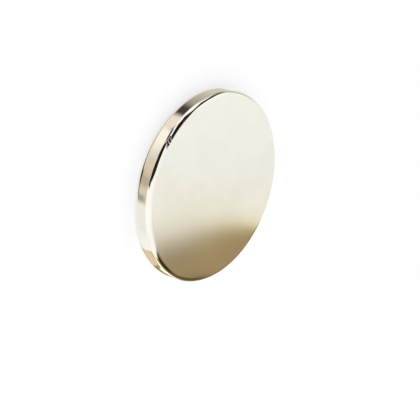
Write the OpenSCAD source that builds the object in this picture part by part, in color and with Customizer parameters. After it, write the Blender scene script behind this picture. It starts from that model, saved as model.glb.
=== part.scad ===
// Disc magnet: one piece of sintered neodymium, pressed and ground flat on both faces,
// tumbled until its edges are round, then nickel plated all over. It lies on one face,
// with its axis along Z and the middle of its lower face at the origin. Its upper edge
// carries the mark of one knock: two short slanted dents that run into each other.

/* [Disc] */
// Diameter over the plating
disc_d = 20; // [6:0.5:60]
// Thickness over the plating
disc_t = 2; // [1.2:0.1:12]
// Radius of the tumbled edge, the same on both faces
edge_r = 0.5; // [0.2:0.05:0.55]

/* [Nick] */
// Bearing of the nick round the axis, counted from +X towards +Y
nick_bearing = 253.5; // [0:0.5:359.5]
// Number of dents in the nick
dent_count = 2; // [1:1:4]
// Distance between dents along the edge
dent_pitch = 0.37; // [0.2:0.01:0.5]
// Width of one dent
dent_w = 0.36; // [0.1:0.02:0.5]
// Depth of one dent below the rounded edge
dent_depth = 0.04; // [0.02:0.005:0.06]
// Slant of the dents across the edge, positive when they turn with the bearing
dent_slant = -35; // [-60:5:60]

/* [Hidden] */
$fn = 180;
disc_r = disc_d / 2;
// Centre of the upper edge's rounding, in the plane of the axis
edge_x = disc_r - edge_r;
edge_z = disc_t - edge_r;
// A dent's own radius: the round tool whose arc has that width and depth
dent_r = (pow(dent_w / 2, 2) + pow(dent_depth, 2)) / (2 * dent_depth);
// Angle round the axis from one dent to the next
dent_step = dent_pitch / disc_r * 180 / PI;

// Half of the disc's section: a flat slab with a quarter round at each outer corner
module section() {
    square([edge_x, disc_t]);
    translate([0, edge_r])
        square([disc_r, disc_t - 2 * edge_r]);
    for (z = [edge_r, edge_z])
        translate([edge_x, z])
            circle(r = edge_r);
}

// A round bar laid across the upper edge at 45 degrees, sunk by the dent's depth
module dent() {
    translate([edge_x, 0, edge_z])
        rotate([0, 45, 0])
            translate([0, 0, edge_r - dent_depth + dent_r])
                rotate([0, 0, dent_slant])
                    rotate([0, 90, 0])
                        cylinder(r = dent_r, h = 4 * edge_r, center = true);
}

// The dents side by side along the edge, centred on the nick's bearing
module nick() {
    for (i = [0:dent_count - 1])
        rotate([0, 0, nick_bearing + (i - (dent_count - 1) / 2) * dent_step])
            dent();
}

module disc_magnet() {
    color([0.88, 0.87, 0.83])
        difference() {
            rotate_extrude()
                section();
            nick();
        }
}

disc_magnet();
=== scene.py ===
# %% [markdown]
# # A nickel-plated disc magnet
# The real thing is one piece: magnet powder pressed and sintered into a slug, ground flat on both
# faces, tumbled until its edges are round, and plated with nickel. There is nothing to assemble, so
# the whole lesson is about a clean form and about metal: a disc with true round edges, a satin face
# beside a bright edge, and a studio that gives the metal something to reflect.

# %% Load the packed frame
import math

import bpy
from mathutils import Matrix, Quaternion, Vector


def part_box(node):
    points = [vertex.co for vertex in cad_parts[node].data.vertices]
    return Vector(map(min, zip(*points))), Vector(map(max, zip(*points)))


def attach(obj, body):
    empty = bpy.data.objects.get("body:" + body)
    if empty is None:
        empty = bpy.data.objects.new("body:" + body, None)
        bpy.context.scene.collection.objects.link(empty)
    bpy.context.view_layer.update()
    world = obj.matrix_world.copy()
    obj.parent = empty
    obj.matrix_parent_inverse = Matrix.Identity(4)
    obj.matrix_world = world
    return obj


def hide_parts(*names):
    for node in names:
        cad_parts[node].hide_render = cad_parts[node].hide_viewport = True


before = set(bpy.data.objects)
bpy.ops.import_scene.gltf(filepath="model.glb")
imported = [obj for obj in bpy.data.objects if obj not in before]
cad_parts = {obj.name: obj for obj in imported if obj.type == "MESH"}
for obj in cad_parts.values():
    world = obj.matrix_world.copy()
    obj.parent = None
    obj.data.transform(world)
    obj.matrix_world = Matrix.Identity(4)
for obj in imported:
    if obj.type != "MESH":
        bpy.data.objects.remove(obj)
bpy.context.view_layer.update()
MM = 0.001

# %% [markdown]
# ## Sizes from the frame
# The CAD solid fixes every size, so the sizes are measured on it and not typed in again. Its diameter
# and thickness are its box. The edge round is what lies between its radius and the ring where the
# flat upper face ends. Only the nick is given further down, as it is in the CAD source.

# %% Measure the solid
# A gap too thin to see, and how far from level the points of a flat face may lie
HAIR = 0.01 * MM
FLATNESS = 0.001 * MM
low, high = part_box("disc_magnet")
DISC_R = (high.x - low.x) / 2
DISC_T = high.z - low.z
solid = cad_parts["disc_magnet"].data
FLAT_R = max(v.co.xy.length for v in solid.vertices if v.co.z > high.z - FLATNESS)
EDGE_R = DISC_R - FLAT_R
print(f"radius {DISC_R / MM:.2f}, thickness {DISC_T / MM:.2f}, edge round {EDGE_R / MM:.3f} mm")

# %% [markdown]
# ## Camera
# The magnet can't stand on its edge unheld, so it lies on one face. The camera looks down on it from
# the side where it sees the upper face and a stretch of rim, through a long lens as for small goods,
# and it is rolled about its own axis until the disc stands upright in the render.

# %% Make the camera
CAMERA_HEIGHT = math.radians(36.3)
CAMERA_ROLL = math.radians(109.4)
CAMERA_DISTANCE = 200 * MM
# Focal length and sensor width, which Blender takes in millimetres
LENS = 167.5
SENSOR = 36
AIM = Vector((2.27 * MM, 1.82 * MM, DISC_T / 2))


def make_camera():
    """A long lens at the camera's height over the disc, aimed a little beside its middle."""
    data = bpy.data.cameras.new("camera")
    data.lens = LENS
    data.sensor_width = SENSOR
    camera = bpy.data.objects.new("camera", data)
    bpy.context.scene.collection.objects.link(camera)
    back = Vector((0, -math.cos(CAMERA_HEIGHT), math.sin(CAMERA_HEIGHT)))
    camera.location = AIM + back * CAMERA_DISTANCE
    camera.rotation_mode = "QUATERNION"
    upright = (-back).to_track_quat("-Z", "Y")
    camera.rotation_quaternion = upright @ Quaternion((0, 0, 1), CAMERA_ROLL)
    bpy.context.scene.camera = camera
    return camera


camera = make_camera()
bpy.context.scene.view_settings.view_transform = "Standard"
print("camera at", [round(v / MM, 1) for v in camera.location], "mm")

# %% [markdown]
# ## The disc
# A cylinder with its two rims bevelled is the honest way to this form: the bevel's circular profile
# is the round that tumbling wears on the real edge. A spin of the half section would do as well, but
# the bevel keeps the flat faces whole. The mesh is fine, because a bright edge shows every facet as a
# kink in its reflections: under half a degree round the axis, and twenty strips over each edge.


# %% Helpers for modelling
def only(piece):
    """Selects one object and nothing else."""
    bpy.ops.object.select_all(action="DESELECT")
    piece.select_set(True)
    bpy.context.view_layer.objects.active = piece


def edit(piece, mode, wanted):
    """Enters edit mode with just the edges or faces that pass the test selected."""
    only(piece)
    bpy.ops.object.mode_set(mode="EDIT")
    bpy.ops.mesh.select_mode(type=mode)
    bpy.ops.mesh.select_all(action="DESELECT")
    bpy.ops.object.mode_set(mode="OBJECT")
    parts = {"EDGE": piece.data.edges, "FACE": piece.data.polygons}[mode]
    for part in parts:
        part.select = wanted(part)
    bpy.ops.object.mode_set(mode="EDIT")


def leave():
    """Back to object mode."""
    bpy.ops.object.mode_set(mode="OBJECT")


print("modelling helpers ready in", bpy.context.mode, "mode")


# %% Turn the blank and round its edges
SIDES = 900
EDGE_STRIPS = 20
# The bevel's profile setting that draws a quarter circle
CIRCULAR = 0.5


def make_disc():
    """A cylinder of the frame's size with both rims bevelled to the edge round."""
    bpy.ops.object.select_all(action="DESELECT")
    bpy.ops.mesh.primitive_cylinder_add(
        vertices=SIDES, radius=DISC_R, depth=DISC_T, location=(0, 0, low.z + DISC_T / 2))
    disc = bpy.context.object
    disc.name = disc.data.name = "plated_disc"
    bpy.ops.object.transform_apply(location=True, rotation=True, scale=True)
    points = disc.data.vertices

    def is_rim(edge):
        first, second = (points[i].co.z for i in edge.vertices)
        return abs(first - second) < DISC_T / 2

    edit(disc, "EDGE", is_rim)
    bpy.ops.mesh.bevel(offset=EDGE_R, segments=EDGE_STRIPS, profile=CIRCULAR, affect="EDGES")
    leave()
    return disc


disc = make_disc()
print(len(disc.data.polygons), "faces after the bevel")

# %% Ring the flat faces
RING_WIDTHS = (0.15 * MM, 1.5 * MM, 3 * MM)
QUAD_CORNERS = 4


def is_many_sided(face):
    """True for a face with more corners than a quad has."""
    return len(face.vertices) > QUAD_CORNERS


def ring_faces():
    """Insets each flat face, so that its points lie wholly in the flat and it shades as a plane."""
    for width in RING_WIDTHS:
        edit(disc, "FACE", is_many_sided)
        bpy.ops.mesh.inset(thickness=width, use_even_offset=True)
        leave()


ring_faces()
only(disc)
bpy.ops.object.shade_smooth()
print(len(disc.data.polygons), "faces after the rings")

# %% [markdown]
# ## The nick
# Magnets snap together, and one such knock has left two short slanted dents in the upper edge. Each
# is the print of a round bar laid across the edge, as in the CAD source. A boolean would cut them too,
# but it leaves long thin faces that shade badly on bright metal. Here the edge is divided more finely
# round the nick, a vertex group holds how deep each point goes, and a Displace modifier presses the
# points in along their normals.

# %% Sizes of the dents
NICK_BEARING = math.radians(253.5)
DENT_COUNT = 2
DENT_PITCH = 0.37 * MM
DENT_W = 0.36 * MM
DENT_DEPTH = 0.04 * MM
DENT_SLANT = math.radians(-35)
DENT_R = ((DENT_W / 2) ** 2 + DENT_DEPTH ** 2) / (2 * DENT_DEPTH)
NICK_REACH = 0.9 * MM
print(f"each dent is the print of a bar of {DENT_R / MM:.3f} mm radius")


# %% Where a point lies on the nicked edge
def on_edge(point):
    """Distances from the nick's middle: round the edge, and over it from the middle of its round."""
    turn = math.atan2(point.y, point.x) - NICK_BEARING
    turn = math.remainder(turn, 2 * math.pi)
    tilt = math.atan2(point.xy.length - FLAT_R, point.z - (DISC_T - EDGE_R))
    return turn * DISC_R, (tilt - math.pi / 4) * EDGE_R


def near_nick(point):
    """True for points of the upper edge round the nick."""
    if point.xy.length < FLAT_R - HAIR or point.z < DISC_T - EDGE_R - HAIR:
        return False
    return abs(on_edge(point)[0]) < NICK_REACH


def dent_depth(point):
    """How deep the dents press a point of the edge, nought outside them."""
    depth = 0
    along, over = on_edge(point)
    for number in range(DENT_COUNT):
        offset = along - (number - (DENT_COUNT - 1) / 2) * DENT_PITCH
        across = offset * math.cos(DENT_SLANT) - over * math.sin(DENT_SLANT)
        bar = DENT_DEPTH - across ** 2 / (2 * DENT_R) - over ** 2 / (2 * EDGE_R)
        depth = max(depth, bar)
    return depth


print("nick reaches", NICK_REACH / MM, "mm to either side")

# %% Press the dents
NICK_CUTS = 2


def press_dents():
    """Divides the edge round the nick and displaces its points by the dents' depths."""
    edit(disc, "FACE", lambda face: near_nick(face.center))
    bpy.ops.mesh.subdivide(number_cuts=NICK_CUTS)
    leave()
    group = disc.vertex_groups.new(name="dents")
    count = 0
    for vertex in disc.data.vertices:
        depth = dent_depth(vertex.co) if near_nick(vertex.co) else 0
        if depth > 0:
            group.add([vertex.index], depth / DENT_DEPTH, "REPLACE")
            count += 1
    press = disc.modifiers.new("press", "DISPLACE")
    press.direction = "NORMAL"
    press.vertex_group = group.name
    press.mid_level = 0
    press.strength = -DENT_DEPTH
    only(disc)
    bpy.ops.object.modifier_apply(modifier=press.name)
    disc.vertex_groups.clear()
    return count


print(press_dents(), "points pressed in,", len(disc.data.polygons), "faces in all")

# %% [markdown]
# ## The many-sided faces
# The middle of each flat face is still one face with hundreds of corners, and the strips beside the
# nick have gained points where they meet the finer patch. A renderer cuts such faces into triangles
# anyhow, and where three points lie in line it may leave one with no area. Poking them is the remedy:
# a point in the middle, and a fan of sound triangles from it to every side.


# %% Fan them out
def fan_out():
    """Pokes every many-sided face, and tells how many corners a face has at most."""
    edit(disc, "FACE", is_many_sided)
    bpy.ops.mesh.poke()
    leave()
    return max(len(face.vertices) for face in disc.data.polygons)


print("no face has more than", fan_out(), "corners now")

# %% [markdown]
# ## Shader maths
# A finish is a sum of patterns, and each sum takes a Math node. They could be added and linked one
# by one, but then the formula is lost among the links. A small class wraps a socket instead and
# understands plus, minus, times and divide, so that a pattern is written and read as a formula.


# %% A socket in a formula
class Wire:
    """An output socket that can stand in a formula: each operator adds its Math node to the tree."""

    def __init__(self, socket):
        self.socket = socket

    @staticmethod
    def add(tree, kind, settings=None, inputs=None, output=0):
        """Adds any node: its settings are set first, then the values or links of its inputs.

        An input or output goes by its name, or by its number where several share a name.
        """
        node = tree.nodes.new("ShaderNode" + kind)
        for name, value in (settings or {}).items():
            setattr(node, name, value)
        for name, value in (inputs or {}).items():
            if isinstance(value, Wire):
                tree.links.new(value.socket, node.inputs[name])
            else:
                node.inputs[name].default_value = value
        return Wire(node.outputs[output])

    def math(self, operation, *values):
        """A Math node of this socket's tree."""
        return Wire.add(self.socket.id_data, "Math", {"operation": operation}, dict(enumerate(values)))

    def __add__(self, other):
        return self.math("ADD", self, other)

    def __radd__(self, other):
        return self.math("ADD", other, self)

    def __sub__(self, other):
        return self.math("SUBTRACT", self, other)

    def __rsub__(self, other):
        return self.math("SUBTRACT", other, self)

    def __mul__(self, other):
        return self.math("MULTIPLY", self, other)

    def __rmul__(self, other):
        return self.math("MULTIPLY", other, self)

    def __truediv__(self, other):
        return self.math("DIVIDE", self, other)

    def __rtruediv__(self, other):
        return self.math("DIVIDE", other, self)


reflected = [name for name in vars(Wire) if name.startswith("__r")]
print("a wire knows", len(reflected), "reflected operators")


# %% Two helpers on wires
# A Mix node's sockets for numbers, vectors and colours share their names, so the colour ones go by
# number: the factor, the two colours and the result
MIX_FACTOR, MIX_FIRST, MIX_SECOND, MIX_RESULT = 0, 6, 7, 2


def rise(value, start, end):
    """0 below start, 1 above end, and a smooth rise between."""
    return Wire.add(value.socket.id_data, "MapRange", {"interpolation_type": "SMOOTHSTEP"},
                    {"Value": value, "From Min": start, "From Max": end})


def blend_colour(factor, first, second):
    """A mix of two colours."""
    return Wire.add(factor.socket.id_data, "Mix", {"data_type": "RGBA"},
                    {MIX_FACTOR: factor, MIX_FIRST: first, MIX_SECOND: second}, output=MIX_RESULT)


print("helpers ready for smooth rises and mixed colours")

# %% [markdown]
# ## Nickel
# Bright nickel is a warm white metal. On the two faces the plating follows the ground surface under
# it and looks satin; on the rim and the tumbled edges it is almost a mirror. One material covers the
# piece, and the distance from the axis says which of the two finishes a point has. Nothing on it is
# quite even: the bath leaves faint clouds of colour and sheen a few millimetres across, the grinding
# of the faces shows through as fine streaks of more and less sheen, and the plating has the slight
# waviness called orange peel, which is the only one with a height. An image could hold all this, but
# it would blur close up. Noises on the object's own coordinates stay sharp and keep their real size.

# %% Sizes of the finish
NICKEL = (0.89, 0.872, 0.79)
NICKEL_DULL = (0.865, 0.845, 0.755)
# All but a few specks of the faces stay rougher than 0.275: the denoiser takes smoother metal for a
# mirror, and a finish that keeps crossing that line comes out blotched
FACE_ROUGHNESS = 0.29
EDGE_ROUGHNESS = 0.06
ROUGHNESS_CHANGE = 0.03
MIRROR_START = FLAT_R - 0.05 * MM
MIRROR_END = FLAT_R + 0.15 * MM
CLOUD = 2.6 * MM
CLOUD_DETAIL = 2
CLOUD_START = 0.3
CLOUD_END = 0.75
STREAK = 0.3 * MM
STREAK_LENGTH = 9 * MM
STREAK_BEARING = math.radians(30)
PEEL = 0.9 * MM
PEEL_DEPTH = 0.0012 * MM
# How strongly each finer layer of a noise shows beside the one before it
GRAIN = 0.55
print("clouds of", CLOUD / MM, "mm, peel of", PEEL / MM, "mm")


# %% Two patterns
def noise(place, size, detail=0):
    """A soft random field between 0 and 1, with blots of the given size."""
    return Wire.add(place.socket.id_data, "TexNoise", None,
                    {"Vector": place, "Scale": 1 / size, "Detail": detail, "Roughness": GRAIN})


def streaks(place, width, length, bearing):
    """A noise drawn out into lines that lie at a bearing across the disc."""
    drawn = Wire.add(place.socket.id_data, "Mapping", {"vector_type": "TEXTURE"},
                     {"Vector": place, "Rotation": (0, 0, bearing), "Scale": (length, width, length)})
    return noise(drawn, size=1)


print("streaks of", STREAK / MM, "by", STREAK_LENGTH / MM, "mm")


# %% Make the nickel
def make_nickel():
    """Bright nickel over ground metal: satin on the two faces, almost a mirror on rim and edges."""
    material = bpy.data.materials.new("nickel_plate")
    material.use_nodes = True
    tree = material.node_tree
    shader = tree.nodes["Principled BSDF"]
    shader.inputs["Metallic"].default_value = 1
    place = Wire.add(tree, "TexCoord", output="Object")
    flat = Wire.add(tree, "VectorMath", {"operation": "MULTIPLY"}, {0: place, 1: (1, 1, 0)})
    reach = Wire.add(tree, "VectorMath", {"operation": "LENGTH"}, {0: flat}, output="Value")
    edge = rise(reach, MIRROR_START, MIRROR_END)

    clouds = noise(place, CLOUD, CLOUD_DETAIL)
    dull = rise(clouds, CLOUD_START, CLOUD_END)
    colour = blend_colour(dull, (*NICKEL, 1), (*NICKEL_DULL, 1))
    tree.links.new(colour.socket, shader.inputs["Base Color"])

    grinding = streaks(place, STREAK, STREAK_LENGTH, STREAK_BEARING)
    face_roughness = FACE_ROUGHNESS + (clouds + grinding - 1) * ROUGHNESS_CHANGE
    edge_roughness = EDGE_ROUGHNESS + (clouds - 0.5) * ROUGHNESS_CHANGE
    roughness = face_roughness * (1 - edge) + edge_roughness * edge
    tree.links.new(roughness.socket, shader.inputs["Roughness"])

    height = noise(place, PEEL) * PEEL_DEPTH
    bump = Wire.add(tree, "Bump", None, {"Height": height, "Distance": 1})
    tree.links.new(bump.socket, shader.inputs["Normal"])
    return material


nickel = make_nickel()
disc.data.materials.append(nickel)
print("nickel of", len(nickel.node_tree.nodes), "nodes")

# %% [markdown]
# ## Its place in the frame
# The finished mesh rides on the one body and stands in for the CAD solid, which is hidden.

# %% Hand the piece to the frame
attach(disc, "root")
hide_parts("disc_magnet")
print(disc.name, "rides on root")

# %% [markdown]
# ## Floor
# A pale sheet takes the disc's soft shadow. The camera also sees it glow a little, so that it comes
# out as white as the background. Glossy rays pass through it, because the bright rim has to show the
# studio round it, which the sheet would hide. It lies a hair under the disc, since two surfaces in
# one plane would show through each other in patches, and it is clear from below, where the disc's
# other face can be looked at as on a glass table.

# %% Lay the floor
FLOOR_SIZE = 2
FLOOR_GREY = 0.5
FLOOR_GLOW = 0.62


def make_floor():
    """A wide matt sheet under the disc, a little brighter to the camera than to the light."""
    bpy.ops.object.select_all(action="DESELECT")
    bpy.ops.mesh.primitive_plane_add(size=FLOOR_SIZE, location=(0, 0, low.z - HAIR))
    floor = bpy.context.object
    floor.name = "floor"
    bpy.ops.object.transform_apply(location=True, rotation=True, scale=True)
    material = bpy.data.materials.new("floor_paper")
    material.use_nodes = True
    tree = material.node_tree
    shader = tree.nodes["Principled BSDF"]
    shader.inputs["Base Color"].default_value = (FLOOR_GREY, FLOOR_GREY, FLOOR_GREY, 1)
    shader.inputs["Roughness"].default_value = 1
    shader.inputs["Specular IOR Level"].default_value = 0
    shader.inputs["Emission Strength"].default_value = FLOOR_GLOW
    camera_ray = Wire.add(tree, "LightPath", output="Is Camera Ray")
    tree.links.new(camera_ray.socket, shader.inputs["Emission Color"])
    from_above = 1 - Wire.add(tree, "NewGeometry", output="Backfacing")
    tree.links.new(from_above.socket, shader.inputs["Alpha"])
    floor.data.materials.append(material)
    floor.visible_glossy = False
    return floor


floor = make_floor()
print(floor.name, "of", FLOOR_SIZE, "m")

# %% [markdown]
# ## The tent
# A bright metal shows its surroundings and little else, so they are built with as much care as the
# piece. Small shiny goods are lit in a tent: white cloth all round, with black and tan cards let in
# where the metal needs a dark line to show its edge. The tent is the world here. Its panels are laid
# out as they are seen from behind the camera, so a panel's bearing and height count from the
# render's own level and upright, which lie in the disc's plane. Each panel covers those before it,
# and slope tips it: its height changes by that share of the way along it.

# %% Panels of the tent
TENT_WHITE = (1.02, 1.02, 1.02, 1)
UP_BEARING = math.radians(215)
NEAR_BEARING = math.radians(305)
PANELS = (
    # name, bearing, half width, height, half height, slope, softness (slope is a share, the other
    # five are in degrees), colour
    ("lamp", 27, 57, -14, 28, 0, 14, (1.1, 1.11, 1.15)),
    ("back wall", -140, 60, -28, 20, 0, 20, (0.92, 0.92, 0.91)),
    ("shelf", -43, 12, -23, 13, 0, 8, (0.94, 0.94, 0.93)),
    ("ceiling", 0, 180, 75, 60, 0, 6, (1.13, 1.13, 1.16)),
    ("tan wall", -108, 72, 24, 32, 0, 10, (0.77, 0.72, 0.635)),
    ("tan far", -160, 28, 12, 18, 0, 14, (0.66, 0.63, 0.54)),
    ("window", -75, 25, 55, 19, 0, 20, (1.1, 1.02, 0.94)),
    ("blush", -95, 14, 50, 6, 0, 10, (0.94, 0.83, 0.77)),
    ("corner", -40, 9, 12, 21, 0, 6, (0.76, 0.68, 0.55)),
    ("corner rust", -41, 8, 19.5, 4, 0, 5, (0.75, 0.61, 0.5)),
    ("corner core", -39, 6, 12, 5, 0, 6, (0.56, 0.47, 0.34)),
    ("corner foot", -42, 5, -4, 3, 0, 4, (0.42, 0.38, 0.32)),
    ("streak", -85, 40, 0, 7, 0.3, 6, (0.03, 0.03, 0.03)),
    ("streak end", -52, 9, 0, 5, 0, 4, (0.06, 0.055, 0.05)),
    ("upper band", -35, 48, 67, 8, 0.12, 6, (0.03, 0.02, 0.02)),
    ("flag left", 15, 43, 39.5, 22.5, 0, 5, (0.02, 0.014, 0.01)),
    ("flag foot", -8, 22, 15.5, 3.2, 0, 5, (0.02, 0.014, 0.01)),
    ("flag corner", -30, 4, 51, 9, 0, 5, (0.02, 0.014, 0.01)),
    ("flag right", 89.5, 20.5, 41.5, 25, -1.05, 5, (0.02, 0.015, 0.012)),
    ("flag wing", 116, 7, 44, 30, 2, 5, (0.02, 0.015, 0.012)),
    ("flag high", 98, 26, 55, 20, 0, 5, (0.02, 0.015, 0.012)),
    ("belt", 138, 24, 41, 12, 0.15, 5, (0.02, 0.02, 0.015)),
    ("belt turn", 172, 15, 38, 8, -0.3, 6, (0.05, 0.045, 0.04)),
    ("belt far", -168, 12, 30, 6, -0.3, 8, (0.15, 0.14, 0.12)),
    ("patch tail", -132, 16, 40, 13, 0.5, 20, (0.44, 0.41, 0.36)),
    ("patch", -117, 9, 46, 8, 0.4, 12, (0.07, 0.053, 0.058)),
)
print(len(PANELS), "panels")


# %% Directions in the render
def flat_direction(bearing):
    """The unit vector in the disc's plane at a bearing from +X."""
    return Vector((math.cos(bearing), math.sin(bearing), 0))


def dot(tree, look, axis):
    """How far a vector socket points along an axis."""
    return Wire.add(tree, "VectorMath", {"operation": "DOT_PRODUCT"},
                    {0: look, 1: axis}, output="Value")


def within(value, half, soft):
    """1 where a value is less than half from nought, with a soft border of the given width."""
    size = value.math("ABSOLUTE", value)
    return 1 - rise(size, half - soft / 2, half + soft / 2)


print("up in the render is", [round(v, 2) for v in flat_direction(UP_BEARING)])


# %% Hang the tent
def make_world():
    """White cloth all round, with the panels over it; camera rays see plain white."""
    world = bpy.data.worlds.new("tent")
    bpy.context.scene.world = world
    world.use_nodes = True
    tree = world.node_tree
    look = Wire.add(tree, "TexCoord", output="Generated")
    up = dot(tree, look, flat_direction(UP_BEARING))
    near = dot(tree, look, flat_direction(NEAR_BEARING))
    out = dot(tree, look, (0, 0, 1))
    height = up.math("ARCSINE", up)
    bearing = up.math("ARCTAN2", out, near)
    colour = TENT_WHITE
    for _, *angles, slope, soft, shade in PANELS:
        middle, half_width, level, half_height = (math.radians(v) for v in angles)
        soft = math.radians(soft)
        turned = up.math("WRAP", bearing - middle, math.pi, -math.pi)
        mask = within(height - level - turned * slope, half_height, soft)
        # A panel that goes all the way round has no sides
        if half_width < math.pi:
            mask = mask * within(turned, half_width, soft)
        colour = blend_colour(mask, colour, (*shade, 1))
    camera_ray = Wire.add(tree, "LightPath", output="Is Camera Ray")
    colour = blend_colour(camera_ray, colour, (1, 1, 1, 1))
    tree.links.new(colour.socket, tree.nodes["Background"].inputs["Color"])
    return world


world = make_world()
print("tent of", len(world.node_tree.nodes), "nodes")

# %% [markdown]
# ## The glowing card of painted reflection
# The lower third of the face mirrors something brown that the disc's edge meets. Near things can't be
# painted on a far tent, because each part of the face sees them in another direction, so this is a
# card in the scene: it touches the disc's lower edge and stands square to the face. It is no lamp but
# glows with its own colour, a painted reflection of that brown thing with its painted shade, shadow
# and highlights. It is clear, with soft ovals painted on it over each other. A grey spot of painted
# shade round it and thin hazes of yellow and tan let the face warm up slowly towards the brown. The
# brown has a deeper core of painted shade and a breath of amber at its border, because the satin face
# blurs it there with the white beside it. The small ones near the front are a painted shadow that
# gives the lower edge its thin black line, painted white and a painted cream highlight beside it, and
# the painted peach glow in the rim. Only glossy rays see the card.

# %% Spots of the card
CARD_SIZE = 80 * MM
# Every spot is painted reflection; the painted shade, shadow and highlights are marked below
SPOTS = (
    # name, forward, out, half width and half height in mm, softness as a share, opacity, colour
    # painted shade round the brown
    ("grey painted shade", -16, 8, 14, 14, 0.8, 0.11, (0.30, 0.30, 0.28)),
    ("yellow haze", -6, 4, 12, 12, 0.8, 0.15, (0.95, 0.88, 0.30)),
    ("tan haze", -3.5, 2, 8.9, 8.9, 0.25, 0.58, (0.93, 0.74, 0.26)),
    ("brown", 0.7, 0.7, 11.6, 11.15, 0.16, 1, (0.345, 0.243, 0.111)),
    # a darker core of painted shade
    ("brown core", 0.2, 9.5, 3, 3, 0.4, 0.6, (0.17, 0.1, 0)),
    ("amber", -6.8, 6.7, 3.2, 2.8, 0.7, 0.4, (0.3, 0.19, 0.02)),
    # painted shadow, which the lower edge shows as its thin black line
    ("shadow", 7.6, 5.6, 2.6, 2.9, 0.7, 1, (0.03, 0.02, 0.01)),
    ("shadow tail", 4.6, 2.8, 3.4, 1.1, 0.8, 1, (0.12, 0.09, 0.045)),
    # painted reflection of white beyond the brown
    ("white cut", 14.2, 6, 3.8, 5, 0.35, 1, (1.1, 1.1, 1.08)),
    ("white foot", 13.4, -5, 2.4, 2, 0.3, 1, (1.05, 1.05, 1.03)),
    # painted peach glow for the rim
    ("peach", 8.8, -4, 2.3, 2.2, 0.4, 1, (0.82, 0.655, 0.475)),
    # painted highlights, which the lower edge shows as its cream line
    ("cream", 9, 0.4, 4.2, 1.4, 0.6, 1, (1.2, 1.15, 0.96)),
    ("cream foot", 6.5, -0.6, 1.3, 1.4, 0.3, 1, (1.2, 1.15, 0.96)),
)
print(len(SPOTS), "spots on the card")


# %% Paint the spots
def oval(forward, out, middle, level, half_width, half_height, soft):
    """1 inside an oval, with a soft border whose width is a share of the oval's own."""
    across = (forward - middle * MM) / (half_width * MM)
    upward = (out - level * MM) / (half_height * MM)
    away = across.math("SQRT", across * across + upward * upward)
    return 1 - rise(away, 1 - soft / 2, 1 + soft / 2)


def paint_card():
    """A glowing material of painted reflection: the spots over each other, and clear where there are
    none.
    """
    material = bpy.data.materials.new("painted_reflection_card")
    material.use_nodes = True
    tree = material.node_tree
    place = Wire.add(tree, "TexCoord", output="Object")
    forward = dot(tree, place, flat_direction(NEAR_BEARING))
    out = dot(tree, place, (0, 0, 1))
    clear = 1
    colour = (0, 0, 0, 1)
    for _, *shape, opacity, shade in SPOTS:
        mask = oval(forward, out, *shape) * opacity
        clear = clear * (1 - mask)
        # Over clear card a soft border keeps the spot's own colour, hence the division
        colour = blend_colour(mask / (1 - clear), colour, (*shade, 1))
    alpha = 1 - clear
    shader = tree.nodes["Principled BSDF"]
    shader.inputs["Base Color"].default_value = (0, 0, 0, 1)
    shader.inputs["Specular IOR Level"].default_value = 0
    shader.inputs["Emission Strength"].default_value = 1
    tree.links.new(colour.socket, shader.inputs["Emission Color"])
    tree.links.new(alpha.socket, shader.inputs["Alpha"])
    return material


card_paint = paint_card()
print("card paint of", len(card_paint.node_tree.nodes), "nodes")


# %% Stand the card
def make_card():
    """A square sheet of painted reflection that touches the disc's lower edge and stands square to its
    face.
    """
    bpy.ops.object.select_all(action="DESELECT")
    bpy.ops.mesh.primitive_plane_add(
        size=CARD_SIZE, location=flat_direction(UP_BEARING + math.pi) * DISC_R,
        rotation=(math.pi / 2, 0, NEAR_BEARING))
    card = bpy.context.object
    card.name = "painted_reflection_card"
    bpy.ops.object.transform_apply(location=True, rotation=True, scale=True)
    card.data.materials.append(card_paint)
    for kind in ("camera", "diffuse", "transmission", "shadow", "volume_scatter"):
        setattr(card, "visible_" + kind, False)
    return card


card = make_card()
print(card.name, "of", CARD_SIZE / MM, "mm at bearing", round(math.degrees(UP_BEARING)) - 180)
